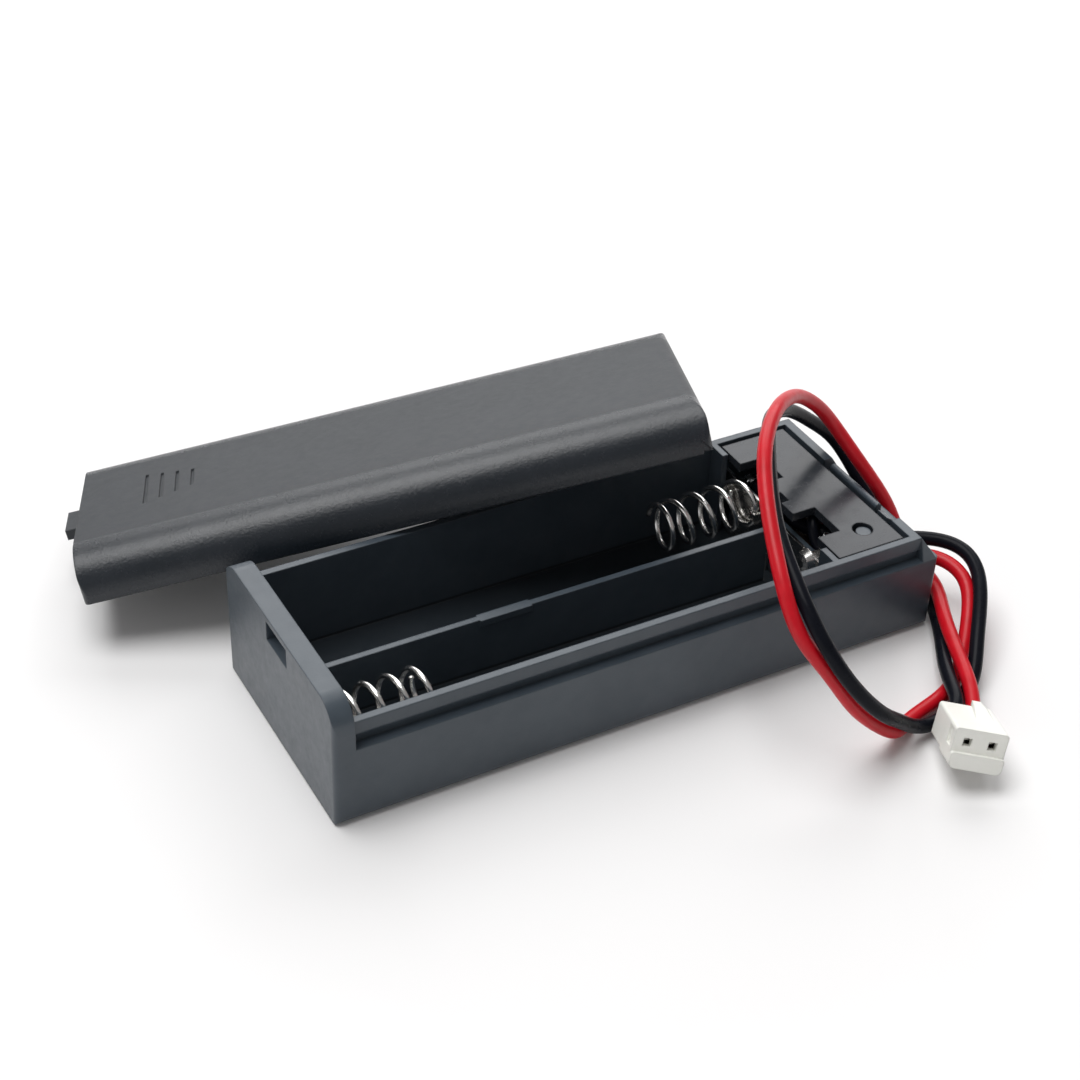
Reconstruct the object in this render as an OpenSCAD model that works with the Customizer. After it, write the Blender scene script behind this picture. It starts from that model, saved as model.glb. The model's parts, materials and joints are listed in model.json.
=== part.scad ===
// Holder for two AAA cells side by side, with a lid, a slide switch and a two-way plug.
// The case stands on its floor. The lid is off and leans on the back wall of the case.
// X runs along the cells, the front is -Y, and Z is up. All sizes are in millimetres.

/* [Cells] */
// Diameter of a cell (AAA)
cell_d = 10.5; // [9.6:0.1:11]
// Length of a cell
cell_l = 44.5; // [42:0.1:48]
// Room beside a cell, across its bay
bay_slack = 0.55; // [0.2:0.05:1]
// Length that a pressed spring and the contacts take up in a bay
spring_room = 9.9; // [9:0.1:12]

/* [Case] */
// Thickness of the floor
floor_t = 1.2; // [1:0.1:2]
// Thickness of the divider between the bays
divider_t = 0.7; // [0.6:0.1:1.6]
// Height of the divider's top edge
divider_top = 7.9; // [6:0.1:8.4]
// Thickness of the inner rail along each side
rail_t = 0.8; // [0.7:0.1:1.2]
// Width of the ledge outside the rail
ledge_w = 0.8; // [0.7:0.1:1.2]
// Height of the ledge that the lid's skirt meets
ledge_top = 8.8; // [8.6:0.1:9.2]
// Height of the rails' top edge
rail_top = 11.4; // [11.2:0.1:12]
// Depth of the groove under the rail's lip
groove_depth = 0.4; // [0.2:0.05:0.5]
// Height of the groove under the rail's lip
groove_h = 1.1; // [0.8:0.1:1.3]
// Thickness of the tall end wall
tall_wall = 2.2; // [1.6:0.1:3]
// Thickness of the end wall that the leads leave through
lead_wall = 3.1; // [2.6:0.1:4]
// Length of the flat top of that wall, before its ramp
lead_wall_flat = 1; // [0.8:0.1:1.4]
// Length of the compartment for the switch, between the cells and that wall
chamber_l = 8.3; // [8.2:0.1:10]
// Height of the closed holder
closed_h = 14; // [13.6:0.1:15]
// Radius of the tall wall's shoulders
shoulder_r = 3.1; // [1.5:0.1:4]
// Radius of the case's lower long edges
low_edge_r = 0.8; // [0.5:0.1:2]
// Radius of the case's upright corners
corner_r = 0.6; // [0.3:0.1:1]
// Width of the slot in the tall wall for the lid's tongue
slot_w = 4.8; // [3.6:0.1:6]
// Height of that slot
slot_h = 2.2; // [1.6:0.1:2.4]

/* [Compartment] */
// Thickness of the partition behind the contacts
partition_t = 0.8; // [0.6:0.1:1]
// Height of the partition's top edge
partition_top = 8; // [7:0.1:8.4]
// Thickness of the ribs in front of the contacts
rib_t = 0.7; // [0.5:0.1:1]
// How far those ribs stand out from the side walls
rib_reach = 2.2; // [1.2:0.1:3]
// Thickness of the insert plate
plate_t = 1; // [0.8:0.1:1.4]
// Gap between the insert plate and the back rail
plate_back_gap = 0.6; // [0.3:0.1:0.8]
// Diameter of the post that holds the insert plate
post_d = 1.6; // [1.2:0.1:2]
// Room round the post in the plate's hole
post_clearance = 0.2; // [0.1:0.05:0.4]

/* [Lid] */
// Thickness of the lid's top
lid_top_t = 1.1; // [0.9:0.1:1.5]
// Thickness of the lid's skirts
skirt_t = 0.7; // [0.6:0.1:0.9]
// Gap between the closed lid and the case
lid_gap = 0.2; // [0.1:0.05:0.4]
// Radius of the lid's shoulders
lid_shoulder_r = 4.2; // [3:0.1:4.3]
// Width of the lid's tongue
tongue_w = 4.6; // [3:0.1:4.6]
// Thickness of the lid's tongue
tongue_t = 1.1; // [0.8:0.1:1.4]
// Length of the lid's tongue
tongue_l = 1.7; // [1:0.1:2]
// Width of a finger groove in the lid
grip_w = 0.35; // [0.2:0.05:0.6]
// Depth of a finger groove
grip_depth = 0.2; // [0.1:0.05:0.4]
// Distance between finger grooves
grip_pitch = 1.67; // [1:0.01:2]

/* [Contacts] */
// Thickness of the contact sheet
sheet_t = 0.3; // [0.2:0.05:0.4]
// Diameter of the dimple that meets a cell's positive end
dimple_d = 3; // [2.4:0.1:5]
// How far the dimple stands out
dimple_reach = 0.9; // [0.5:0.1:1.2]
// Diameter of the spring wire
spring_wire = 0.6; // [0.4:0.05:0.7]
// Radius of a spring, to the middle of its wire
spring_r = 2.45; // [1.8:0.05:2.8]
// Length of the front spring
front_spring_l = 10.1; // [8:0.1:12]
// Length of the back spring
back_spring_l = 11; // [8:0.1:12]

/* [Switch] */
// Width of the switch shell, along X
shell_w = 3.6; // [3.2:0.1:4]
// Length of the switch shell, along Y
shell_l = 8.6; // [8:0.1:9]
// Height of the switch shell
shell_h = 3.7; // [3.4:0.1:4]
// Thickness of the shell's sheet
shell_t = 0.3; // [0.2:0.05:0.4]
// Thickness of the switch base
base_t = 0.8; // [0.6:0.1:1]
// Distance between switch terminals
terminal_pitch = 2.5; // [2:0.1:2.8]
// Travel of the slider from its middle to each end
slide_travel = 1; // [0.6:0.1:1.2]
// Width of the slider's knob, along X
knob_w = 1.4; // [1:0.1:1.8]
// Length of the slider's knob, along Y
knob_l = 2.2; // [1.6:0.1:2.6]
// Room between the slider and what it moves in
slide_clearance = 0.2; // [0.1:0.05:0.3]

/* [Leads] */
// Outer diameter of a lead
lead_d = 1.5; // [1.2:0.1:1.6]
// Diameter of the holes that the leads leave through
lead_hole_d = 2; // [1.8:0.1:2.2]
// Outer diameter of the jumper wire
jumper_d = 1.2; // [0.8:0.1:1.4]

/* [Plug] */
// Width of the plug
plug_w = 5.3; // [5:0.1:6]
// Length of the plug, along its leads
plug_l = 6.5; // [6:0.1:8]
// Height of the plug
plug_h = 4; // [3.8:0.1:4.6]
// Distance between the plug's two ways
plug_pitch = 2.5; // [2.4:0.1:2.8]
// Height of the lower step at the plug's mating end
step_h = 1.6; // [1.2:0.1:1.7]
// Length of that step
step_l = 3.2; // [2.6:0.1:4]
// Side of the square mating holes
mating_hole = 0.85; // [0.8:0.05:1.2]
// Side of the square cavities for the crimp terminals
cavity = 1.9; // [1.7:0.1:2]

/* [Hidden] */
$fn = 48;
eps = 0.01;
through = 1;

// Plan of the case, from the left end to the right
bay_w = cell_d + bay_slack;
inner_y = divider_t / 2 + bay_w;
rail_y = inner_y + rail_t;
body_y = rail_y + ledge_w;
bay_l = cell_l + spring_room;
case_l = tall_wall + bay_l + chamber_l + lead_wall;
x_left = -case_l / 2;
x_bay = x_left + tall_wall;
x_sheet = x_bay + bay_l;
x_partition = x_sheet + sheet_t;
x_chamber = x_partition + partition_t;
x_lead_wall = x_sheet + chamber_l;
x_ramp = x_lead_wall + lead_wall_flat;
x_right = case_l / 2;
x_ramp_end = x_right - 2 * lid_gap;
cell_y = (divider_t + bay_w) / 2;
cell_z = floor_t + cell_d / 2;

// Parts of the case
rib_gap = 0.5;
rib_x = x_sheet - rib_gap - rib_t;
link_gap = 0.6;
bar_w = 0.8;
bar_x = x_lead_wall + 0.55;
bar_top = rail_top - 0.05;
bar_y0 = -5.3;
bar_y1 = 2.9;
notch_l = 0.9;
step_y0 = -7.4;
step_y1 = -5.7;
step_drop = 0.35;
step_fall = 0.5;
wall_cut = 1.5;
slot_margin = 0.6;
shelf_reach = 1.1;
shelf_t = 1;
pad_x0 = -12.7;
pad_x1 = -6.9;
pad_t = 0.2;
pad_h = 0.8;
plate_z = rail_top - plate_t;
post_x = x_sheet + 4.78;
post_y = -8.32;
plate_hole = [x_sheet + 4.7, -8.2];
plate_hole_d = post_d + 2 * post_clearance + 0.15;
post_drop = 0.25;
shelf_start = 1.5;

// Insert plate: the gaps round it, and its notches over the contacts, as [depth, Y, width]
plate_lap = 0.3;
plate_side_gap = 0.1;
plate_end_gap = 0.7;
plate_tab_gap = 0.8;
plate_tab_y = 5;
plate_notches = [[2.8, 3.1, 4], [1, -0.7, 1.6], [2.7, -7.4, 4.5]];

// Contacts and springs: the bottom coil of each spring rests on the sheet of its contact
front_spring_z = cell_z;
contact_z = cell_z + 0.8;
sheet_side_gap = 0.3;
sheet_middle_gap = 0.6;
positive_top = partition_top + 0.3;
negative_top = partition_top + 0.8;
link_top = rail_top - 1.8;
spring_turns = 5;
spring_steps = 16;
spring_flat = 0.05;
spring_dead_turn = 0.6;
tab_w = 1.2;
tab_gap = 0.1;
tab_drop = 1.6;
positive_tab_y = -6.4;
negative_tab_y = 8;
tab_face = x_chamber + tab_gap + sheet_t;
lug_w = 0.9;
lug_t = 0.25;
lug_hook = 0.5;
lug_slack = 0.05;
lug_rise = 0.1;

// Switch: it stands on the floor between two ribs, with its knob in a window of the floor
switch_x = x_sheet + 4.6;
switch_y = 2;
switch_gap = 0.1;
switch_rib_t = 0.8;
switch_rib_h = 2;
thumb_depth = 0.4;
thumb_w = 4.8;
thumb_l = 8.4;
thumb_r = 2;
knob_low = 0.2;
slider_t = 1.2;
slider_l = 5.2;
terminal_w = 1.2;
terminal_t = 0.3;
terminal_rise = 2.4;
terminal_drop = 0.4;
base_z = floor_t + shell_h;
base_top = base_z + base_t;
slider_z = floor_t + shell_t + 0.05;
slider_half_w = shell_w / 2 - shell_t - slide_clearance;
slider_y = switch_y - slide_travel;
window_w = knob_w + 2 * slide_clearance;
window_l = knob_l + 2 * (slide_travel + slide_clearance);
wiper_t = 0.2;
wiper_w = 1.2;
wiper_l = 3.6;
wiper_leg_w = 0.6;
wiper_leg_y = 1.4;
wiper_foot_l = 1;
wiper_top = base_z - terminal_drop - 0.1;

// Lead holes, in the end wall
red_hole = [-8.2, 5.6];
black_hole = [-5.7, 6.2];

// The lid lies on its back left corner and on the case's back rail
lid_at = [-41, 33.9, 2.6];
lid_turn = [-11.9, -12.2, -19.2];
lid_l = x_right - lid_gap - x_bay - 2 * lid_gap;
lid_h = closed_h - ledge_top - lid_gap;
lid_end_t = 1;
lid_end_r = 1.5;
lid_corner_r = 0.6;
lip_reach = 0.35;
lip_z0 = 0.15;
lip_z1 = 0.9;
lip_start = 2;
lip_end = 3;
grip_x = 7.1;
grip_back = 4.7;
grip_back_step = -0.45;
grip_front = -2.7;
grip_front_step = 0.62;

// The plug lies at the far end of the leads. Its ways run along Y, from the mating face at 0
plug_at = [22.2, -35.2, 2.5];
plug_turn = [-18.5, 11.5, -25];
plug_floor = 0.5;
plug_edge_r = 0.3;
step_reach = 0.5;
step_low_r = 0.6;
step_high_r = 0.2;
mating_z = 2.64;
mating_t = 0.8;
lead_z = 1.9;
funnel = 0.1;
funnel_y = 5.3;
lug_x = plug_pitch / 2 - 0.2;
plug_lug_y = 3;
plug_lug_h = 0.45;
plug_lug_back = 0.4;
plug_lug_wide = 1;
plug_lug_narrow = 0.45;
side_recess = [[0.6, 1.75], [1.9, 3.5]];
side_recess_t = 0.25;
crimp_size = cavity - 0.3;
crimp_wall = 0.2;
crimp_start = 1;
socket_end = 3.6;
barrel_start = 4.2;
crimp_end = 5;
barrel_rise = 0.5;

// The routes below were drawn with the case's end at this X, and they move with it
drawn_x_right = 34;
leads_shift = [x_right - drawn_x_right, 0, 0];

// Routes of the leads: the corners of a smooth curve
red_route = [
  [27.2, -2, 7.3], [27.2, -3.3, 7], [27.4, -4.7, 5], [28.5, -7, 4.8], [30.5, -8.2, 5.5], [33.5, -8.2, 5.6],
  [36, -8.5, 5.5], [37.5, -10.5, 5.5], [38, -13, 5], [37, -15.5, 4], [34, -19, 2], [31, -22, 0.8],
  [27.5, -24, 0.8], [22.5, -25, 0.8], [20, -26.5, 0.8], [17, -27, 3.5], [13.5, -27, 7], [11, -26, 11.5],
  [8.5, -24, 15], [8, -22, 18], [8.5, -19.5, 20], [10, -15, 22.5], [12, -10.5, 25], [14.5, -7, 26],
  [18, -3.5, 26], [21.5, -0.5, 24.5], [25, 2, 22.5], [28, 2.5, 20], [30, 2.5, 17.5], [32.2, 0, 13.5],
  [34.9, -2, 9.1], [35.8, -3, 6.5], [36, -5, 4], [36, -8, 3.5], [36, -11.5, 3.3], [33.4, -15.7, 3.2],
  [31, -21.5, 3.1], [29.5, -25.5, 2.9], [28.1, -28, 1.9], [26.6, -29.8, 1.95], [25.9, -31, 2.45]
];
black_route = [
  [25, 7.5, 7.5], [25.4, 2.5, 7.2], [25, -1.8, 7.8], [26.5, -4.3, 8.6], [28.7, -5.6, 7], [31, -5.7, 6.2],
  [34.5, -5.6, 6.2], [37.5, -7.5, 6.5], [39.5, -10, 6.5], [39.5, -13, 6], [37.5, -16.5, 5],
  [34, -20.5, 3.5], [31.5, -24, 1.2], [28, -25.5, 0.8], [24.5, -27, 0.8], [21.5, -27, 1.5],
  [18.5, -28, 4.5], [15.5, -29, 7], [12.5, -28, 10.5], [10.5, -26.5, 14], [9.5, -24, 17], [10, -20, 19],
  [11, -15, 21], [13.5, -10, 22], [16.5, -5, 22.5], [19.5, -0.5, 22.5], [23, 3, 20.5], [26.5, 5, 18.5],
  [30.5, 6, 15], [33.5, 6, 12.5], [35, 3.5, 9], [36.2, 0.5, 5], [36.7, -3, 3], [36.5, -8, 1.5],
  [35.5, -12, 1], [32.9, -16.6, 1.4], [29.2, -21.6, 2.3], [27.45, -25.6, 2.8], [26.4, -27.4, 2.85],
  [24.55, -28.6, 2.45], [23.83, -29.72, 2.85]
];
jumper_route = [
  [24.9, -5.4, 7.2], [24.7, -4.3, 7.5], [24.8, -3.2, 9.2], [25.8, -1.6, 9.7], [27, -0.2, 9.4],
  [27.2, 0.9, 8.6]
];

// ---- Helpers ----

// Draws a profile of (Y, Z) and pushes it along +X
module along_x(length) rotate([90, 0, 90]) linear_extrude(length) children();

// Draws a profile of (X, Z) and pushes it along Y, from y to y + length
module along_y(y, length)
  translate([0, y + length, 0]) rotate([90, 0, 0]) linear_extrude(length) children();

// A block between two corners
module block(low, high) translate(low) cube(high - low);

// Rectangle on the X axis, with its own radius for the lower and upper corners
module arch(width, height, low_r, high_r) {
  translate([-width / 2, low_r]) square([width, height - low_r - high_r]);
  translate([-width / 2 + low_r, 0]) square([width - 2 * low_r, 2 * low_r]);
  translate([-width / 2 + high_r, height - 2 * high_r]) square([width - 2 * high_r, 2 * high_r]);
  for (side = [-1, 1]) {
    translate([side * (width / 2 - low_r), low_r]) circle(low_r);
    translate([side * (width / 2 - high_r), height - high_r]) circle(high_r);
  }
}

// Rectangle with four round corners, from one corner to the opposite one
module round_plan(low, high, r) {
  translate([low.x + r, low.y]) square([high.x - low.x - 2 * r, high.y - low.y]);
  translate([low.x, low.y + r]) square([high.x - low.x, high.y - low.y - 2 * r]);
  for (x = [low.x + r, high.x - r], y = [low.y + r, high.y - r]) translate([x, y]) circle(r);
}

// Point i of the smooth curve that a route's corners describe
function knot(p, i) = i == 0 || i == len(p) - 1 ? p[i] : (p[i - 1] + 4 * p[i] + p[i + 1]) / 6;
function smooth(p) = [for (i = [0:len(p) - 1]) knot(p, i) + leads_shift];
function unit(v) = v / norm(v);
function tangent(p, i) = unit(p[min(i + 1, len(p) - 1)] - p[max(i - 1, 0)]);

// One normal for each point, carried along the curve without twist
function carried(p, i, n) = unit(n - (n * tangent(p, i)) * tangent(p, i));
function normals(p, first) = [
  for (i = 0, n = carried(p, 0, first); i < len(p); i = i + 1, n = carried(p, min(i, len(p) - 1), n)) n
];

// Round tube with eight sides along a list of points
module tube(p, d, first = [1, 0, 0]) {
  sides = 8;
  n = normals(p, first);
  rings = [
    for (i = [0:len(p) - 1], k = [0:sides - 1])
      let (t = tangent(p, i), a = 360 * k / sides)
        p[i] + d / 2 * (cos(a) * n[i] + sin(a) * cross(t, n[i]))
  ];
  last = (len(p) - 1) * sides;
  walls = [
    for (i = [0:len(p) - 2], k = [0:sides - 1])
      let (a = i * sides + k, b = i * sides + (k + 1) % sides)
        each [[a, a + sides, b], [b, a + sides, b + sides]]
  ];
  caps = [[for (k = [0:sides - 1]) k], [for (k = [sides - 1:-1:0]) last + k]];
  polyhedron(rings, concat(walls, caps));
}

// ---- Case ----

module case_outside() {
  intersection() {
    translate([x_left, 0, 0]) along_x(case_l) arch(2 * body_y, closed_h, low_edge_r, shoulder_r);
    linear_extrude(closed_h) round_plan([x_left, -body_y], [x_right, body_y], corner_r);
    union() {
      block([x_left, -body_y, 0], [x_right, body_y, ledge_top]);
      block([x_left, -body_y, 0], [x_bay, body_y, closed_h]);
    }
  }
  rails();
  ramp();
}

module rails() {
  groove_y = rail_y - groove_depth;
  translate([x_bay, 0, 0]) along_x(x_ramp - x_bay) polygon([
    [-groove_y, ledge_top], [groove_y, ledge_top], [groove_y, ledge_top + groove_h],
    [rail_y, ledge_top + groove_h], [rail_y, rail_top], [-rail_y, rail_top],
    [-rail_y, ledge_top + groove_h], [-groove_y, ledge_top + groove_h]
  ]);
}

// The ramp at the lead end, with a sloping facet at each corner
module ramp() intersection() {
  along_y(-body_y, 2 * body_y) polygon([[x_ramp, ledge_top], [x_ramp_end, ledge_top], [x_ramp, rail_top]]);
  translate([x_ramp, 0, 0]) along_x(x_right - x_ramp) polygon([
    [-body_y, ledge_top], [body_y, ledge_top], [rail_y, rail_top], [-rail_y, rail_top]
  ]);
}

module bays() {
  for (side = [-1, 1]) {
    y = side * cell_y;
    block([x_bay, y - bay_w / 2, floor_t], [x_partition, y + bay_w / 2, rail_top + through]);
  }
  block([x_bay, -inner_y, divider_top], [x_partition, inner_y, rail_top + through]);
  block([x_bay, -inner_y, floor_t], [x_bay + link_gap, inner_y, divider_top + through]);
  block([rib_x, -inner_y, floor_t], [x_partition, inner_y, divider_top + through]);
}

module chamber() {
  block([x_chamber, -inner_y, floor_t], [x_lead_wall, inner_y, rail_top + through]);
  block([x_partition - eps, -inner_y, partition_top], [x_chamber + eps, inner_y, rail_top + through]);
}

module lead_holes() for (hole = [red_hole, black_hole])
  translate([x_lead_wall - through, hole.x, hole.y]) rotate([0, 90, 0])
    cylinder(d = lead_hole_d, h = lead_wall + 2 * through);

// The top of the lead wall is cut down in the middle, and a round bar stands in the cut
module wall_top_cut()
  block([x_lead_wall - eps, step_y0 - notch_l, rail_top - wall_cut],
        [x_right, bar_y1 + notch_l, rail_top + through]);

module wall_bar() {
  r = bar_w / 2;
  z = bar_top - r;
  low = rail_top - wall_cut - eps;
  step_top = rail_top - step_drop;
  along_y(bar_y0, bar_y1 - bar_y0) {
    translate([bar_x, z]) circle(r);
    translate([bar_x - r, low]) square([bar_w, z - low]);
  }
  along_y(step_y0, step_y1 - step_y0) polygon([
    [bar_x - r, low], [bar_x + r, low], [bar_x + r, step_top - step_fall], [bar_x - r, step_top]
  ]);
}

module window(z, depth)
  translate([switch_x - window_w / 2, switch_y - window_l / 2, z]) cube([window_w, window_l, depth]);

module switch_window() {
  window(-through, floor_t + 2 * through);
  translate([switch_x, switch_y, -through]) linear_extrude(through + thumb_depth)
    round_plan([-thumb_w / 2, -thumb_l / 2], [thumb_w / 2, thumb_l / 2], thumb_r);
}

module switch_ribs() for (side = [-1, 1]) {
  y = switch_y + side * (shell_l / 2 + switch_gap + switch_rib_t / 2);
  block([switch_x - shell_w / 2, y - switch_rib_t / 2, floor_t - eps],
        [switch_x + shell_w / 2, y + switch_rib_t / 2, floor_t + switch_rib_h]);
}

module contact_ribs() for (side = [-1, 1], x = [rib_x, x_bay + link_gap]) {
  y = side * (inner_y - rib_reach / 2);
  top = x == rib_x ? rail_top : divider_top;
  block([x, y - rib_reach / 2 - eps, floor_t - eps], [x + rib_t, y + rib_reach / 2 + eps, top]);
}

module plate_shelves() for (side = [-1, 1]) {
  y = side * (inner_y - shelf_reach / 2);
  block([post_x - shelf_start, y - shelf_reach / 2 - eps, plate_z - shelf_t],
        [x_lead_wall + eps, y + shelf_reach / 2 + eps, plate_z]);
}

module divider_pad()
  block([pad_x0, -divider_t / 2 - pad_t, divider_top - pad_h], [pad_x1, divider_t / 2 + pad_t, divider_top]);

module case() color("#2b2e33") {
  difference() {
    case_outside();
    bays();
    chamber();
    lead_holes();
    wall_top_cut();
    switch_window();
    translate([x_left - through, -slot_w / 2, closed_h - slot_margin - slot_h])
      cube([tall_wall + 2 * through, slot_w, slot_h]);
  }
  wall_bar();
  switch_ribs();
  contact_ribs();
  plate_shelves();
  divider_pad();
  translate([post_x, post_y, floor_t - eps]) cylinder(d = post_d, h = rail_top - post_drop - floor_t);
}

// ---- Insert plate ----

module plate_outline() difference() {
  x0 = x_sheet - plate_lap;
  front = plate_side_gap - inner_y;
  back = inner_y - plate_back_gap;
  union() {
    translate([x0, front]) square([x_lead_wall - plate_end_gap - x0, back - front]);
    translate([x0, step_y0]) square([x_lead_wall - plate_tab_gap - x0, plate_tab_y - step_y0]);
  }
  for (notch = plate_notches) translate([x0 - through, notch.y]) square([notch.x + through, notch.z]);
  translate(plate_hole) circle(d = plate_hole_d);
}

module insert_plate() color("#33363b") translate([0, 0, plate_z]) linear_extrude(plate_t) plate_outline();

// ---- Lid ----

// Profile of the lid, on the V axis: a flat top with round shoulders down to the skirts
module lid_profile(inset, top) arch_top(2 * (body_y - inset), top, lid_shoulder_r - inset);

module arch_top(width, height, r) {
  translate([-width / 2, -through]) square([width, height - r + through]);
  translate([-width / 2 + r, -through]) square([width - 2 * r, height + through]);
  for (side = [-1, 1]) translate([side * (width / 2 - r), height - r]) circle(r);
}

module lid_outside() intersection() {
  along_x(lid_l) lid_profile(0, lid_h);
  along_y(-body_y, 2 * body_y) lid_side(lid_end_r);
  linear_extrude(lid_h) round_plan([0, -body_y], [lid_l, body_y], lid_corner_r);
}

// Side view of the lid: its top edge is round at the closed end
module lid_side(r) {
  square([lid_l - r, lid_h]);
  square([lid_l, lid_h - r]);
  translate([lid_l - r, lid_h - r]) circle(r);
}

module lid_inside() translate([lid_end_t, 0, 0]) along_x(lid_l - 2 * lid_end_t)
  lid_profile(skirt_t, lid_h - lid_top_t);

// Bevel under the closed end, so that the end wall stands clear of the case's ramp
module lid_bevel() {
  slope = (rail_top - ledge_top) / (x_ramp_end - x_ramp);
  reach = lid_end_t + eps;
  along_y(-body_y - through, 2 * (body_y + through))
    polygon([[lid_l, 0], [lid_l - reach, reach * slope], [lid_l - reach, -through], [lid_l, -through]]);
}

module lid_lips() for (side = [-1, 1]) {
  y = side * (body_y - skirt_t - lip_reach / 2);
  block([lip_start, y - lip_reach / 2 - eps, lip_z0], [lid_l - lip_end, y + lip_reach / 2 + eps, lip_z1]);
}

module finger_grooves() for (i = [0:3]) {
  x = grip_x + i * grip_pitch;
  back = grip_back + i * grip_back_step;
  front = grip_front + i * grip_front_step;
  translate([x - grip_w / 2, front, lid_h - grip_depth]) cube([grip_w, back - front, through]);
}

module closed_lid() {
  difference() {
    lid_outside();
    lid_inside();
    lid_bevel();
    finger_grooves();
  }
  lid_lips();
  translate([-tongue_l, -tongue_w / 2, lid_h - lid_top_t - tongue_t])
    cube([tongue_l + lid_end_t, tongue_w, tongue_t]);
}

module lid() color("#2e3136") translate(lid_at) rotate(lid_turn) closed_lid();

// ---- Contacts and springs ----

// Domed dimple on a contact sheet, pointing to +X
module dimple() rotate([0, 90, 0]) rotate_extrude() polygon([
  [0, 0], [dimple_d / 2, 0], [dimple_d / 3, dimple_reach * 0.75],
  [dimple_d / 6, dimple_reach], [0, dimple_reach]
]);

// Solder tab: it runs over the partition and down behind it
module solder_tab(y) {
  block([x_sheet, y - tab_w / 2, partition_top], [tab_face, y + tab_w / 2, partition_top + sheet_t]);
  block([tab_face - sheet_t, y - tab_w / 2, partition_top - tab_drop],
        [tab_face, y + tab_w / 2, partition_top + eps]);
}

// Two lugs bent over the bottom coil of a spring. The sheet's face is at x = 0, and the spring stands to +X
module spring_lugs() for (side = [-1, 1]) {
  inner = spring_r + spring_wire / 2 + lug_slack;
  reach = spring_wire + lug_rise;
  mirror([0, side < 0 ? 1 : 0, 0]) {
    block([-eps, inner, -lug_w / 2], [reach + lug_t, inner + sheet_t, lug_w / 2]);
    block([reach, inner - lug_hook, -lug_w / 2], [reach + lug_t, inner + eps, lug_w / 2]);
  }
}

module positive_contact() color("#c9ccd0") {
  block([x_sheet, sheet_side_gap - inner_y, floor_t],
        [x_partition, -divider_t / 2 - sheet_middle_gap, positive_top]);
  translate([x_sheet + eps, -cell_y, contact_z]) mirror([1, 0, 0]) dimple();
  solder_tab(positive_tab_y);
}

module negative_contact() color("#c9ccd0") {
  block([x_sheet, divider_t / 2 + sheet_middle_gap, floor_t],
        [x_partition, inner_y - sheet_side_gap, negative_top]);
  translate([x_sheet, cell_y, contact_z]) mirror([1, 0, 0]) spring_lugs();
  solder_tab(negative_tab_y);
}

module link_contact() color("#c9ccd0") {
  block([x_bay, sheet_side_gap - inner_y, floor_t],
        [x_bay + sheet_t, inner_y - sheet_side_gap, link_top]);
  translate([x_bay + sheet_t - eps, cell_y, cell_z]) dimple();
  translate([x_bay + sheet_t, -cell_y, front_spring_z]) spring_lugs();
}

// Right-handed coil that stands to +X: it lies flat for a little over half a turn at each end
module coil_spring(length) {
  span = length - spring_wire;
  rise = [
    [0, 0], [spring_dead_turn, spring_flat],
    [spring_turns - spring_dead_turn, span - spring_flat], [spring_turns, span]
  ];
  points = [
    for (i = [0:spring_turns * spring_steps])
      let (turn = i / spring_steps, a = 360 * turn)
        [spring_wire / 2 + lookup(turn, rise), spring_r * cos(a), spring_r * sin(a)]
  ];
  tube(points, spring_wire);
}

module front_spring() color("#d4d6d8")
  translate([x_bay + sheet_t, -cell_y, front_spring_z]) coil_spring(front_spring_l);

module back_spring() color("#d4d6d8")
  translate([x_sheet - back_spring_l, cell_y, contact_z]) coil_spring(back_spring_l);

// ---- Switch ----

// A block round the switch's middle, with sides of w and l, from height z0 to z1
module switch_block(w, l, z0, z1)
  block([switch_x - w / 2, switch_y - l / 2, z0], [switch_x + w / 2, switch_y + l / 2, z1]);

module switch_shell() color("#b9bcc0") difference() {
  switch_block(shell_w, shell_l, floor_t, base_z);
  switch_block(shell_w - 2 * shell_t, shell_l - 2 * shell_t, floor_t + shell_t, base_z + through);
  window(floor_t - through, 2 * through + shell_t);
}

module switch_base() color("#6b4a2b") difference() {
  switch_block(shell_w, shell_l, base_z, base_top);
  for (i = [-1:1]) terminal_body(i);
}

// Blade of terminal i, from -1 to 1
module terminal_body(i) {
  y = switch_y + i * terminal_pitch;
  block([switch_x - terminal_t / 2, y - terminal_w / 2, base_z - terminal_drop],
        [switch_x + terminal_t / 2, y + terminal_w / 2, base_top + terminal_rise]);
}

module switch_terminal_1() color("#c9ccd0") terminal_body(-1);
module switch_terminal_2() color("#c9ccd0") terminal_body(0);
module switch_terminal_3() color("#c9ccd0") terminal_body(1);

// Slider: a knob that points down through the floor, under a block that slides in the shell
module switch_slider() color("#1d1f22") translate([switch_x, slider_y, 0]) {
  block([-knob_w / 2, -knob_l / 2, knob_low], [knob_w / 2, knob_l / 2, slider_z + eps]);
  block([-slider_half_w, -slider_l / 2, slider_z], [slider_half_w, slider_l / 2, slider_z + slider_t]);
}

// Wiper: a bent strip that lies on the slider and reaches up to two of the terminals
module switch_wiper() color("#c98f4a") translate([switch_x - wiper_w / 2, slider_y, 0]) {
  z = slider_z + slider_t;
  along_y(-wiper_l / 2, wiper_l) translate([0, z]) square([wiper_w, wiper_t]);
  for (side = [-1, 1]) along_y(side * wiper_leg_y - wiper_leg_w / 2, wiper_leg_w) {
    translate([0, z]) square([wiper_t, wiper_top - z]);
    translate([0, wiper_top - wiper_t]) square([wiper_foot_l, wiper_t]);
  }
}

// ---- Leads, jumper and solder ----

module wire_red() color("#b3121d") tube(smooth(red_route), lead_d);
module wire_black() color("#1b1c1f") tube(smooth(black_route), lead_d);
module jumper_wire() color("#1b1c1f") tube(smooth(jumper_route), jumper_d);

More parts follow.
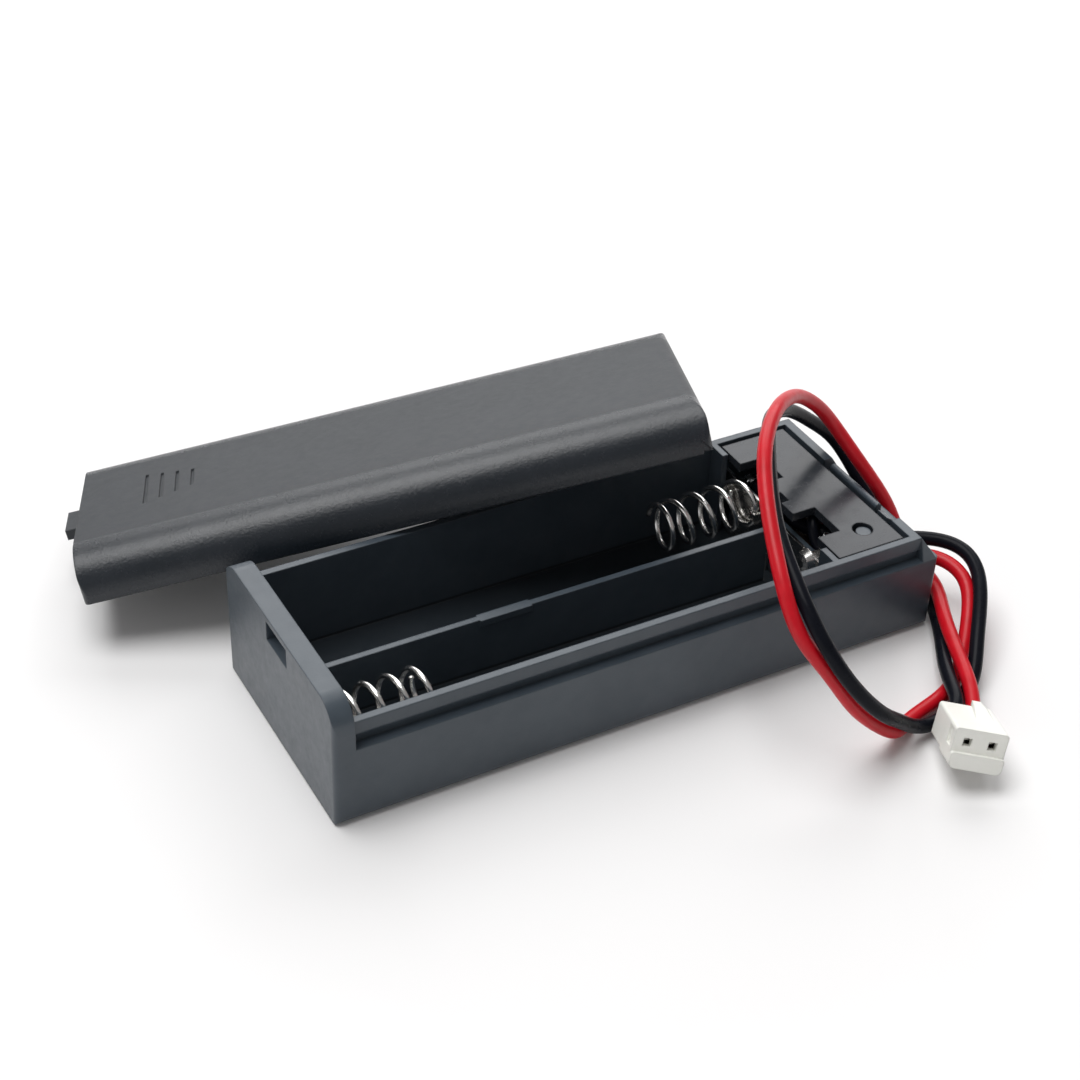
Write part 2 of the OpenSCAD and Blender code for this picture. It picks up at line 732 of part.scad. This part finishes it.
// Solder: a ball round a wire's end, cut flat where it meets the sheet and the wire
module solder(at, r, low, high) color("#b9bcc0") intersection() {
  translate(at) sphere(r, $fn = 32);
  block(low, high);
}

module solder_positive() translate([tab_face, 0, 0])
  solder([0.75, -6.35, 7.35], 1.1, [0, -8, 5], [3, -5.65, 9]);

module solder_negative() translate([tab_face, 0, 0])
  solder([0.8, 8.2, 7.4], 1.1, [0, 7.6, 5], [3, 10, 9]);

module solder_switch_1() difference() {
  translate([switch_x, 0, 0]) solder([0, -1, 7.3], 0.95, [-1.2, -1.75, 6], [1.3, 0.5, 9]);
  terminal_body(-1);
}

module solder_switch_2() difference() {
  translate([switch_x, 0, 0]) solder([0, 1.9, 8], 0.9, [-1.2, 1.2, 6], [1.3, 3, 9]);
  terminal_body(0);
}

// ---- Plug ----

module on_plug() translate(plug_at + leads_shift)
  rotate([0, 0, plug_turn.z]) rotate([plug_turn.x, 0, 0]) rotate([0, plug_turn.y, 0]) children();

module plug_ways() for (side = [-1, 1]) translate([side * plug_pitch / 2, 0, 0]) children();

// Lug on the plug's top at the rear: it widens and sinks towards the mating face
module plug_lug() intersection() {
  y1 = plug_l + plug_lug_back;
  translate([lug_x, 0, plug_h - eps]) linear_extrude(through) polygon([
    [-plug_lug_narrow, y1], [plug_lug_narrow, y1], [plug_lug_wide, plug_lug_y], [-plug_lug_wide, plug_lug_y]
  ]);
  along_y(0, y1) translate([-plug_w / 2, plug_h - eps]) square([plug_w, through]);
  rotate([0, 0, 90]) along_y(-plug_w / 2, plug_w) polygon([
    [plug_lug_y, plug_h - eps], [y1, plug_h - eps],
    [y1, plug_h + plug_lug_h], [plug_l - through, plug_h + plug_lug_h]
  ]);
}

// One way through the housing: the mating hole, the cavity and its wider mouth
module plug_way() {
  c = cavity / 2;
  mouth = c + funnel;
  block([-c, mating_t, lead_z - c], [c, plug_l + through, lead_z + c]);
  block([-mouth, funnel_y, lead_z - mouth], [mouth, plug_l + through, lead_z + mouth]);
  translate([0, -through, mating_z]) block([-mating_hole / 2, 0, -mating_hole / 2],
                                           [mating_hole / 2, through + mating_t + eps, mating_hole / 2]);
}

module plug_housing() color("#e9e8df") on_plug() difference() {
  union() {
    along_y(0, plug_l) translate([0, plug_floor]) arch(plug_w, plug_h - plug_floor, plug_edge_r, plug_edge_r);
    along_y(-step_reach, step_l + step_reach) arch(plug_w, step_h, step_low_r, step_high_r);
    plug_lug();
  }
  plug_ways() plug_way();
  block([-plug_w / 2 - through, side_recess[0].x, side_recess[0].y],
        [-plug_w / 2 + side_recess_t, side_recess[1].x, side_recess[1].y]);
}

// Crimp terminal: a square socket, a web and a barrel that holds the wire's end
module crimp() color("#c9ccd0") {
  s = crimp_size / 2;
  low = lead_z - s;
  difference() {
    block([-s, crimp_start, low], [s, socket_end, lead_z + s]);
    block([crimp_wall - s, crimp_start - eps, low + crimp_wall],
          [s - crimp_wall, socket_end + eps, lead_z + s - crimp_wall]);
  }
  block([-s, socket_end - eps, low], [s, crimp_end, low + crimp_wall]);
  for (x = [-s, s - crimp_wall])
    block([x, barrel_start, low], [x + crimp_wall, crimp_end, lead_z + barrel_rise]);
}

module crimp_red() on_plug() translate([plug_pitch / 2, 0, 0]) crimp();
module crimp_black() on_plug() translate([-plug_pitch / 2, 0, 0]) crimp();

case();
lid();
insert_plate();
link_contact();
positive_contact();
negative_contact();
front_spring();
back_spring();
switch_shell();
switch_base();
switch_slider();
switch_wiper();
switch_terminal_1();
switch_terminal_2();
switch_terminal_3();
jumper_wire();
solder_positive();
solder_negative();
solder_switch_1();
solder_switch_2();
wire_red();
wire_black();
plug_housing();
crimp_red();
crimp_black();
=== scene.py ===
"""Looks for the open cylindrical cell holder: camera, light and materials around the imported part."""

import json
import math

import bpy
from mathutils import Euler, Matrix, Vector


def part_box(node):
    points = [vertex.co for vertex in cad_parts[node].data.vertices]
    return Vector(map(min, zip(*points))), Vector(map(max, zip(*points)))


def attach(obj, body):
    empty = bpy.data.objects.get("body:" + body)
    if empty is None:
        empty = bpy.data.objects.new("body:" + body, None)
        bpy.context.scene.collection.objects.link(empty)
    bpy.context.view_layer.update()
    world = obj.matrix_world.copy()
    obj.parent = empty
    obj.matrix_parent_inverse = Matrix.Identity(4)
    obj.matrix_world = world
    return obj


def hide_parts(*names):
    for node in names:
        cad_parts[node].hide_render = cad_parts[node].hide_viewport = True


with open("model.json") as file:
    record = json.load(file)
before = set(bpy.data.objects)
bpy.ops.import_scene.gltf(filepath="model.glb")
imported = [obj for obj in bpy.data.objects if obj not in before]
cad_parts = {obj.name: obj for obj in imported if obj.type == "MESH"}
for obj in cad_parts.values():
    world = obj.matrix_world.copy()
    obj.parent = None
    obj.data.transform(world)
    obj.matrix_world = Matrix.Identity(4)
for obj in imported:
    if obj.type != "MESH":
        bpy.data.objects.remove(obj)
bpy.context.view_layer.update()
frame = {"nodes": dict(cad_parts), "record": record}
nodes = frame["nodes"]
scene = bpy.context.scene

MM = 0.001


def add_object(name, data):
    obj = bpy.data.objects.new(name, data)
    scene.collection.objects.link(obj)
    return obj


def add_mesh(name, verts, faces, smooth=False):
    mesh = bpy.data.meshes.new(name)
    mesh.from_pydata([tuple(v) for v in verts], [], faces)
    mesh.polygons.foreach_set("use_smooth", [smooth] * len(mesh.polygons))
    mesh.update()
    return add_object(name, mesh)


# ---------------------------------------------------------------- camera
CAMERA_AT = (-0.088419, -0.142793, 0.138657)
CAMERA_RIGHT = Vector((0.8781, -0.4773, 0.0340))
CAMERA_FORWARD = Vector((0.4001, 0.6937, -0.5989))
SENSOR_WIDTH = 36.0
LENS = 70.167
CLIP_START = 0.01
CLIP_END = 20.0


def add_camera():
    data = bpy.data.cameras.new("camera")
    camera = add_object("camera", data)
    forward = CAMERA_FORWARD.normalized()
    right = (CAMERA_RIGHT - CAMERA_RIGHT.dot(forward) * forward).normalized()
    turn = Matrix((right, right.cross(forward), -forward)).transposed()
    camera.matrix_world = Matrix.Translation(CAMERA_AT) @ turn.to_4x4()
    data.sensor_width = SENSOR_WIDTH
    data.lens = LENS
    data.clip_start = CLIP_START
    data.clip_end = CLIP_END
    scene.camera = camera


# ---------------------------------------------------------------- cords
# The corners of each route, in millimetres, from the holder's inside to the plug
RED_ROUTE = [
    [27.2, -2, 7.3], [27.2, -3.3, 7], [27.4, -4.7, 5], [28.5, -7, 4.8], [30.5, -8.2, 5.5],
    [33.5, -8.2, 5.6], [36, -8.5, 5.5], [37.5, -10.5, 5.5], [38, -13, 5], [37, -15.5, 4],
    [34, -19, 2], [31, -22, 0.8], [27.5, -24, 0.8], [22.5, -25, 0.8], [20, -26.5, 0.8],
    [17, -27, 3.5], [13.5, -27, 7], [11, -26, 11.5], [8.5, -24, 15], [8, -22, 18], [8.5, -19.5, 20],
    [10, -15, 22.5], [12, -10.5, 25], [14.5, -7, 26], [18, -3.5, 26], [21.5, -0.5, 24.5],
    [25, 2, 22.5], [28, 2.5, 20], [30, 2.5, 17.5], [32.2, 0, 13.5], [34.9, -2, 9.1],
    [35.8, -3, 6.5], [36, -5, 4], [36, -8, 3.5], [36, -11.5, 3.3], [33.4, -15.7, 3.2],
    [31, -21.5, 3.1], [29.5, -25.5, 2.9], [28.1, -28, 1.9], [26.6, -29.8, 1.95], [25.9, -31, 2.45],
]
BLACK_ROUTE = [
    [25, 7.5, 7.5], [25.4, 2.5, 7.2], [25, -1.8, 7.8], [26.5, -4.3, 8.6], [28.7, -5.6, 7],
    [31, -5.7, 6.2], [34.5, -5.6, 6.2], [37.5, -7.5, 6.5], [39.5, -10, 6.5], [39.5, -13, 6],
    [37.5, -16.5, 5], [34, -20.5, 3.5], [31.5, -24, 1.2], [28, -25.5, 0.8], [24.5, -27, 0.8],
    [21.5, -27, 1.5], [18.5, -28, 4.5], [15.5, -29, 7], [12.5, -28, 10.5], [10.5, -26.5, 14],
    [9.5, -24, 17], [10, -20, 19], [11, -15, 21], [13.5, -10, 22], [16.5, -5, 22.5],
    [19.5, -0.5, 22.5], [23, 3, 20.5], [26.5, 5, 18.5], [30.5, 6, 15], [33.5, 6, 12.5],
    [35, 3.5, 9], [36.2, 0.5, 5], [36.7, -3, 3], [36.5, -8, 1.5], [35.5, -12, 1],
    [32.9, -16.6, 1.4], [29.2, -21.6, 2.3], [27.45, -25.6, 2.8], [26.4, -27.4, 2.85],
    [24.55, -28.6, 2.45], [23.83, -29.72, 2.85],
]
JUMPER_ROUTE = [
    [24.9, -5.4, 7.2], [24.7, -4.3, 7.5], [24.8, -3.2, 9.2], [25.8, -1.6, 9.7], [27, -0.2, 9.4],
    [27.2, 0.9, 8.6],
]
WIRE_D = 0.0015
JUMPER_D = 0.0012
CORD_STEPS = 8
CORD_SIDES = 24


def smooth_route(corners, per_span):
    """Points along the uniform cubic B-spline that the route's corners guide."""
    c = [Vector(p) * MM for p in corners]
    c = [2 * c[0] - c[1]] + c + [2 * c[-1] - c[-2]]
    out = []
    for i in range(len(c) - 3):
        for k in range(per_span):
            t = k / per_span
            weights = (
                (1 - t) ** 3,
                3 * t ** 3 - 6 * t ** 2 + 4,
                -3 * t ** 3 + 3 * t ** 2 + 3 * t + 1,
                t ** 3,
            )
            out.append(sum((c[i + j] * w for j, w in enumerate(weights)), Vector()) / 6)
    out.append((c[-3] + 4 * c[-2] + c[-1]) / 6)
    return out


def sections_along(points):
    """Two directions across the line at each of its points, turned as little as possible."""
    normal = None
    out = []
    for i in range(len(points)):
        before = points[max(i - 1, 0)]
        after = points[min(i + 1, len(points) - 1)]
        along = (after - before).normalized()
        if normal is None:
            normal = along.orthogonal().normalized()
        normal = (normal - normal.dot(along) * along).normalized()
        out.append((normal, along.cross(normal)))
    return out


def tube(name, points, diameter, sides):
    """A round mesh tube along points, closed at both ends."""
    radius = diameter / 2
    verts, faces = [], []
    for p, (n, b) in zip(points, sections_along(points)):
        for k in range(sides):
            a = 2 * math.pi * k / sides
            verts.append(p + radius * (math.cos(a) * n + math.sin(a) * b))
    for ring in range(0, (len(points) - 1) * sides, sides):
        for k in range(sides):
            m = (k + 1) % sides
            faces.append((ring + k, ring + m, ring + sides + m, ring + sides + k))
    last = (len(points) - 1) * sides
    faces.append(tuple(reversed(range(sides))))
    faces.append(tuple(range(last, last + sides)))
    return add_mesh(name, verts, faces, smooth=True)


# ---------------------------------------------------------------- springs, strands and the lid's corner
SPRING_WIRE = 0.0006
SPRING_TURNS = 5
SPRING_STEPS = 48
SPRING_SIDES = 16
# The first and last part of a coil, in turns, where it lies flat and rises only by DEAD_RISE
DEAD_TURN = 0.6
DEAD_RISE = 0.00005

STRAND_D = 0.00014
STRAND_STEPS = 6
STRAND_SIDES = 8
STRANDS = {
    "strand_1": [[24.9, -6.2, 8.2], [24.75, -5.7, 8.9], [24.9, -5, 9.4], [25.5, -4.7, 9.3],
                 [26, -4.9, 8.9]],
    "strand_2": [[25.1, -6, 8.3], [25.3, -5.5, 8.9], [25, -5.1, 9.1], [24.6, -4.8, 8.9]],
    "strand_3": [[24.8, -6.6, 8.2], [24.4, -6.9, 8.8], [24.5, -7.4, 9.1]],
    "strand_4": [[24.6, 8, 8.3], [24.2, 7.4, 8.9], [23.7, 6.9, 9.2], [23.2, 6.8, 9]],
    "strand_5": [[24.9, 7.8, 8.2], [25.3, 7.1, 8.8], [25.1, 6.4, 9.2]],
}

# Where the lid lies, and the turn in degrees that it has there
LID_AT = (-0.041, 0.0339, 0.0026)
LID_TURN = [math.radians(v) for v in (-11.9, -12.2, -19.2)]
# The corner's X and Z, and its two sides in Y, in the lid's own frame
CORNER_OUTLINE = ((0.06412, 0.0003), (0.06412, 0.00166), (0.06506, 0.00026))
CORNER_SIDES = (-0.01298, -0.01235)


def coil_points(node):
    """The middle line of a CAD coil that stands along X, taken from the node's box."""
    low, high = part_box(node)
    radius = (high.z - low.z - SPRING_WIRE) / 2
    middle = (low + high) / 2
    span = high.x - low.x - SPRING_WIRE
    slope = (span - 2 * DEAD_RISE) / (SPRING_TURNS - 2 * DEAD_TURN)
    points = []
    for i in range(SPRING_TURNS * SPRING_STEPS + 1):
        turn = i / SPRING_STEPS
        if turn < DEAD_TURN:
            rise = DEAD_RISE * turn / DEAD_TURN
        elif turn > SPRING_TURNS - DEAD_TURN:
            rise = span - DEAD_RISE * (SPRING_TURNS - turn) / DEAD_TURN
        else:
            rise = DEAD_RISE + (turn - DEAD_TURN) * slope
        a = 2 * math.pi * turn
        y = middle.y + radius * math.cos(a)
        z = middle.z + radius * math.sin(a)
        points.append(Vector((low.x + SPRING_WIRE / 2 + rise, y, z)))
    return points


def lid_corner():
    """The low corner of the lid's near side, in the lid's own frame and then set in its place."""
    place = Matrix.Translation(LID_AT) @ Euler(LID_TURN, "XYZ").to_matrix().to_4x4()
    verts = [place @ Vector((x, y, z)) for y in CORNER_SIDES for x, z in CORNER_OUTLINE]
    faces = [(0, 2, 1), (3, 4, 5), (0, 1, 4, 3), (1, 2, 5, 4), (2, 0, 3, 5)]
    return add_mesh("lid_corner", verts, faces)


# ---------------------------------------------------------------- materials
# The part of a noise's range that a value follows
NOISE_RANGE = (0.3, 0.7)


class Nodes:
    """Small helper that builds a material's node tree."""

    # Places of the colour sockets in a Mix node
    MIX_A, MIX_B, MIX_RESULT = 6, 7, 2

    def __init__(self, name):
        self.mat = bpy.data.materials.new(name)
        self.mat.use_nodes = True
        self.tree = self.mat.node_tree
        self.tree.nodes.clear()
        self.out = self.tree.nodes.new("ShaderNodeOutputMaterial")
        self.bsdf = self.tree.nodes.new("ShaderNodeBsdfPrincipled")
        self.feed(self.out.inputs["Surface"], self.bsdf.outputs[0])

    def feed(self, socket, value):
        """Gives a socket another node's output, a colour or a number."""
        if isinstance(value, bpy.types.NodeSocket):
            self.tree.links.new(value, socket)
        elif isinstance(value, tuple):
            socket.default_value = (*value, 1)
        else:
            socket.default_value = value

    def shader(self, **values):
        """Gives the shader's sockets their values, named with _ for each space."""
        for key, value in values.items():
            self.feed(self.bsdf.inputs[key.replace("_", " ")], value)

    def node(self, kind, **values):
        n = self.tree.nodes.new("ShaderNode" + kind)
        for key, value in values.items():
            if key in n.inputs:
                n.inputs[key].default_value = value
            else:
                setattr(n, key, value)
        return n

    def coords(self):
        return self.node("TexCoord").outputs["Object"]

    def noise(self, scale, detail, rough, distortion=0.0):
        n = self.node("TexNoise", Scale=scale, Detail=detail, Roughness=rough, Distortion=distortion)
        self.feed(n.inputs["Vector"], self.coords())
        return n.outputs["Fac"]

    def mapped(self, value, start, end, to_start, to_end):
        n = self.node("MapRange")
        n.inputs["From Min"].default_value = start
        n.inputs["From Max"].default_value = end
        n.inputs["To Min"].default_value = to_start
        n.inputs["To Max"].default_value = to_end
        self.feed(n.inputs["Value"], value)
        return n.outputs["Result"]

    def mix(self, value, a, b, blend="MIX"):
        n = self.node("Mix", data_type="RGBA", blend_type=blend)
        self.feed(n.inputs["Factor"], value)
        self.feed(n.inputs[self.MIX_A], a)
        self.feed(n.inputs[self.MIX_B], b)
        return n.outputs[self.MIX_RESULT]

    def math(self, op, a, b=0.0):
        n = self.node("Math", operation=op)
        self.feed(n.inputs[0], a)
        self.feed(n.inputs[1], b)
        return n.outputs[0]

    def placed(self, at, turn):
        """Object coordinates as seen from a part that was turned and then moved to its place."""
        n = self.node("Mapping", vector_type="TEXTURE")
        n.inputs["Location"].default_value = at
        n.inputs["Rotation"].default_value = turn
        self.feed(n.inputs["Vector"], self.coords())
        return n.outputs["Vector"]

    def split(self, vector):
        n = self.node("SeparateXYZ")
        self.feed(n.inputs[0], vector)
        return n.outputs

    def between(self, value, low, high, fade):
        """1 from low to high, and 0 outside them, with a short fade."""
        start = self.mapped(value, low - fade, low, 0, 1)
        return self.math("MULTIPLY", start, self.mapped(value, high, high + fade, 1, 0))

    def mottled(self, noise, a, b, spread=0.15):
        """Two colours that a noise mixes, over the given spread on each side of its middle."""
        return self.mix(self.mapped(noise, 0.5 - spread, 0.5 + spread, 0, 1), a, b)

    def uneven(self, noise, middle, below, above):
        """A value that wanders with a noise, from so much below a middle to so much above it."""
        return self.mapped(noise, *NOISE_RANGE, middle - below, middle + above)

    def bump(self, height, strength, distance, edge=0.0):
        """Surface relief from a height, on edges that are rounded by the given radius."""
        n = self.node("Bump", Strength=strength, Distance=distance)
        self.feed(n.inputs["Height"], height)
        self.shader(Normal=n.outputs["Normal"])
        if edge:
            soft = self.node("Bevel", Radius=edge, samples=4)
            self.feed(n.inputs["Normal"], soft.outputs["Normal"])


# Noises, each with its scale, detail and roughness
TONE = (260, 5, 0.6)
WEAR = (900, 6, 0.7)
LID_TONE = (240, 5, 0.6)
LID_GRAIN = (3400, 4, 0.75)
PVC_TONE = (420, 4, 0.6)
PVC_WEAR = (1500, 5, 0.7)
PVC_LUMPS = (650, 3, 0.5)

# The radius that edges are softened with
SOFT_EDGE = 0.00022
LID_EDGE = 0.00025
METAL_EDGE = 0.00008

# The box of the bays' floor, where the case's colour is darkened as painted shade
BAY_X = (-0.0318, 0.0235)
BAY_Y = (-0.0114, 0.0114)
BAY_Z = (0.0007, 0.0015)
BAY_FADE = 0.0001

# Distance of the lid's crease from its middle line, and half of the crease's width
LID_CREASE = 0.00855
CREASE_HALF = 0.00008
LID_COLORS = ((0.011, 0.0150, 0.020), (0.015, 0.019, 0.025))
# The lid's roughness and skin, each on the flat top and on the sides, and the crease's step
LID_ROUGH = (0.43, 0.25)
LID_SKIN = (0.35, 0.85)
LID_STEP = -0.08


def plastic(name, color, light, rough, skin_scale, skin, skin_depth, spec=0.5, painted_bay_shade=None):
    """Moulded plastic: faint tone changes, uneven gloss and a fine skin texture, with painted shade on
    the bays' floor where a shade colour is given.
    """
    m = Nodes(name)
    tone = m.mottled(m.noise(*TONE), color, light)
    if painted_bay_shade:
        # Painted shade: the colour is multiplied darker inside the bays' box, standing in for the shade
        # in that recess
        x, y, z = m.split(m.coords())
        painted_shade_mask = m.math("MULTIPLY", m.between(x, *BAY_X, BAY_FADE), m.between(y, *BAY_Y, BAY_FADE))
        painted_shade_mask = m.math("MULTIPLY", painted_shade_mask, m.between(z, *BAY_Z, BAY_FADE))
        tone = m.mix(1.0, tone, m.mix(painted_shade_mask, (1, 1, 1), painted_bay_shade), "MULTIPLY")
    m.shader(
        Base_Color=tone,
        Roughness=m.uneven(m.noise(*WEAR), rough, below=0.05, above=0.07),
        Specular_IOR_Level=spec,
    )
    m.bump(m.noise(skin_scale, detail=3, rough=0.65), strength=skin, distance=skin_depth, edge=SOFT_EDGE)
    return m.mat


def lid_plastic(name):
    """The lid: a smooth top, and beyond a fine crease the eroded skin of its round sides."""
    m = Nodes(name)
    across = m.split(m.placed(LID_AT, LID_TURN))[1]
    side = m.mapped(m.math("ABSOLUTE", across), LID_CREASE - CREASE_HALF, LID_CREASE + CREASE_HALF, 0, 1)
    wear = m.uneven(m.noise(*WEAR), 0, below=0.04, above=0.05)
    m.shader(
        Base_Color=m.mottled(m.noise(*LID_TONE), *LID_COLORS),
        Roughness=m.math("ADD", m.mapped(side, 0, 1, *LID_ROUGH), wear),
    )
    skin = m.math("MULTIPLY", m.noise(*LID_GRAIN), m.mapped(side, 0, 1, *LID_SKIN))
    relief = m.math("ADD", skin, m.math("MULTIPLY", side, LID_STEP))
    m.bump(relief, strength=0.75, distance=0.00007, edge=LID_EDGE)
    return m.mat


def metal(name, color, dark, rough, scale, marks):
    """Plated metal: bright, with soft mottled patches and fine drawn marks."""
    m = Nodes(name)
    m.shader(
        Base_Color=m.mottled(m.noise(scale, detail=5, rough=0.65, distortion=0.4), dark, color),
        Metallic=1.0,
        Roughness=m.uneven(m.noise(scale * 3, detail=5, rough=0.7), rough, below=0.05, above=0.1),
    )
    m.bump(m.noise(scale * 1.3, detail=3, rough=0.6), strength=marks, distance=0.00005, edge=METAL_EDGE)
    return m.mat


def pvc(name, color, light, rough, spec):
    """Soft glossy insulation with faint lumps and a slightly uneven gloss."""
    m = Nodes(name)
    m.shader(
        Base_Color=m.mottled(m.noise(*PVC_TONE), color, light, spread=0.2),
        Roughness=m.uneven(m.noise(*PVC_WEAR), rough, below=0.05, above=0.08),
        Specular_IOR_Level=spec,
    )
    m.bump(m.noise(*PVC_LUMPS), strength=0.25, distance=0.00008)
    return m.mat


# Each slot's maker and what it is told
RECIPES = {
    # The case gets painted shade on its bays' floor, its colour multiplied by the shade colour there
    "case_plastic": (plastic, dict(
        color=(0.042, 0.056, 0.071), light=(0.052, 0.067, 0.083), rough=0.33,
        skin_scale=5200, skin=0.3, skin_depth=0.00003, painted_bay_shade=(0.35, 0.35, 0.35))),
    "lid_plastic": (lid_plastic, {}),
    "plate_plastic": (plastic, dict(
        color=(0.020, 0.024, 0.030), light=(0.025, 0.029, 0.036), rough=0.24,
        skin_scale=4000, skin=0.08, skin_depth=0.00002, spec=0.35)),
    "nickel": (metal, dict(
        color=(0.66, 0.65, 0.63), dark=(0.50, 0.49, 0.47), rough=0.2, scale=420, marks=0.05)),
    "spring_wire": (metal, dict(
        color=(0.95, 0.94, 0.92), dark=(0.82, 0.81, 0.79), rough=0.17, scale=1200, marks=0.1)),
    "solder": (metal, dict(
        color=(0.90, 0.90, 0.90), dark=(0.76, 0.76, 0.77), rough=0.27, scale=700, marks=0.2)),
    "switch_steel": (metal, dict(
        color=(0.62, 0.62, 0.62), dark=(0.48, 0.48, 0.48), rough=0.35, scale=900, marks=0.3)),
    "switch_base": (plastic, dict(
        color=(0.10, 0.045, 0.018), light=(0.16, 0.08, 0.03), rough=0.5,
        skin_scale=3500, skin=0.2, skin_depth=0.00003)),
    "knob_plastic": (plastic, dict(
        color=(0.018, 0.020, 0.024), light=(0.024, 0.026, 0.030), rough=0.4,
        skin_scale=7000, skin=0.15, skin_depth=0.00002)),
    "wiper_bronze": (metal, dict(
        color=(0.75, 0.48, 0.25), dark=(0.6, 0.36, 0.18), rough=0.3, scale=900, marks=0.3)),
    "red_pvc": (pvc, dict(
        color=(0.47, 0.0035, 0.010), light=(0.56, 0.006, 0.016), rough=0.35, spec=0.28)),
    "black_pvc": (pvc, dict(
        color=(0.0045, 0.005, 0.008), light=(0.007, 0.008, 0.012), rough=0.29, spec=0.08)),
    "plug_nylon": (plastic, dict(
        color=(0.80, 0.80, 0.75), light=(0.85, 0.85, 0.80), rough=0.42,
        skin_scale=2500, skin=0.1, skin_depth=0.00003)),
}
MATERIALS = {slot: maker(slot, **values) for slot, (maker, values) in RECIPES.items()}
SLOT_OF = {s["node"]: s["material_slot"] for s in frame["record"]["subparts"]}


def dress(obj, slot):
    obj.data.materials.clear()
    obj.data.materials.append(MATERIALS[slot])


# ---------------------------------------------------------------- stage and light
WHITE = (1, 1, 1, 1)
ROOM_COLOR = (1.0, 0.985, 0.985, 1)
ROOM = 0.26
FLOOR_HALF = 3.0
FLOOR_Z = -0.0002
FLOOR_COLOR = (0.78, 0.775, 0.775)
# The floor's glow: its least value, then the distances that it rises between and by how much
FLOOR_GLOW = 0.02
NEAR_GLOW = (0.05, 0.12, 0.15)
FAR_GLOW = (0.2, 0.7, 1)
# Each light: its place, its two sides in metres and its power. All of them point at the origin
LIGHTS = {
    "back_box": ((0.48, 0.83, 0.72), (1.25, 0.85), 9.6),
    "top_box": ((-0.22, 0.14, 0.93), (0.66, 0.64), 7.9),
    "left_box": ((-1.2, -0.25, 0.5), (0.8, 0.6), 1.0),
}


def seen_ray(m):
    """1 for a ray from the camera or one that glossy or clear things send on, otherwise 0."""
    path = m.node("LightPath").outputs
    seen = m.math("MAXIMUM", path["Is Camera Ray"], path["Is Glossy Ray"])
    return m.math("MAXIMUM", seen, path["Is Transmission Ray"])


def add_stage():
    """A pale floor that turns plain white away from the object."""
    far = FLOOR_HALF
    corners = [(-far, -far, FLOOR_Z), (far, -far, FLOOR_Z), (far, far, FLOOR_Z), (-far, far, FLOOR_Z)]
    floor = add_mesh("floor", corners, [(0, 1, 2, 3)])
    m = Nodes("floor_paper")
    length = m.node("VectorMath", operation="LENGTH")
    m.feed(length.inputs[0], m.coords())
    away = length.outputs["Value"]
    start, end, rise = NEAR_GLOW
    near = m.mapped(away, start, end, FLOOR_GLOW, FLOOR_GLOW + rise)
    start, end, rise = FAR_GLOW
    glow = m.math("ADD", near, m.mapped(away, start, end, 0, rise))
    m.shader(
        Base_Color=FLOOR_COLOR,
        Roughness=0.9,
        Specular_IOR_Level=0.2,
        Emission_Color=(1, 1, 1),
        Emission_Strength=m.math("MULTIPLY", seen_ray(m), glow),
    )
    floor.data.materials.append(m.mat)


def add_light(name, place, size, power):
    data = bpy.data.lights.new(name, "AREA")
    data.shape = "RECTANGLE"
    data.size, data.size_y = size
    data.energy = power
    light = add_object(name, data)
    light.location = place
    light.rotation_euler = (-Vector(place)).to_track_quat("-Z", "Y").to_euler()


def background(tree, color, strength):
    n = tree.nodes.new("ShaderNodeBackground")
    n.inputs["Color"].default_value = color
    n.inputs["Strength"].default_value = strength
    return n.outputs[0]


def add_world():
    """A dim pale room that shows as plain white behind the object."""
    world = bpy.data.worlds.new("world")
    scene.world = world
    world.use_nodes = True
    tree = world.node_tree
    tree.nodes.clear()
    out = tree.nodes.new("ShaderNodeOutputWorld")
    shown = tree.nodes.new("ShaderNodeMixShader")
    path = tree.nodes.new("ShaderNodeLightPath")
    tree.links.new(path.outputs["Is Camera Ray"], shown.inputs[0])
    tree.links.new(background(tree, ROOM_COLOR, ROOM), shown.inputs[1])
    tree.links.new(background(tree, WHITE, 1.0), shown.inputs[2])
    tree.links.new(shown.outputs[0], out.inputs["Surface"])


# ---------------------------------------------------------------- the holder's pieces
replaced_nodes = set()


def add_piece(piece, slot, node=None):
    """Dresses a piece of the scene's own, which may stand in for a CAD node."""
    dress(piece, slot)
    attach(piece, "holder")
    if node:
        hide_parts(node)
        replaced_nodes.add(node)


add_camera()
red_points = smooth_route(RED_ROUTE, CORD_STEPS)
black_points = smooth_route(BLACK_ROUTE, CORD_STEPS)
jumper_points = smooth_route(JUMPER_ROUTE, CORD_STEPS)
cords = {}
for name, points, diameter, slot, node in (
    ("lead_red", red_points, WIRE_D, "red_pvc", "wire_red"),
    ("lead_black", black_points, WIRE_D, "black_pvc", "wire_black"),
    ("jumper", jumper_points, JUMPER_D, "black_pvc", "jumper_wire"),
):
    cords[name] = tube(name, points, diameter, CORD_SIDES)
    add_piece(cords[name], slot, node)

for name, node in (("spring_front", "front_spring"), ("spring_back", "back_spring")):
    add_piece(tube(name, coil_points(node), SPRING_WIRE, SPRING_SIDES), "spring_wire", node)
for name, corners in STRANDS.items():
    add_piece(tube(name, smooth_route(corners, STRAND_STEPS), STRAND_D, STRAND_SIDES), "solder")
add_piece(lid_corner(), "lid_plastic")

for node, slot in SLOT_OF.items():
    if node not in replaced_nodes:
        dress(nodes[node], slot)

add_stage()
add_world()
for name, values in LIGHTS.items():
    add_light(name, *values)

scene.view_settings.view_transform = "Standard"
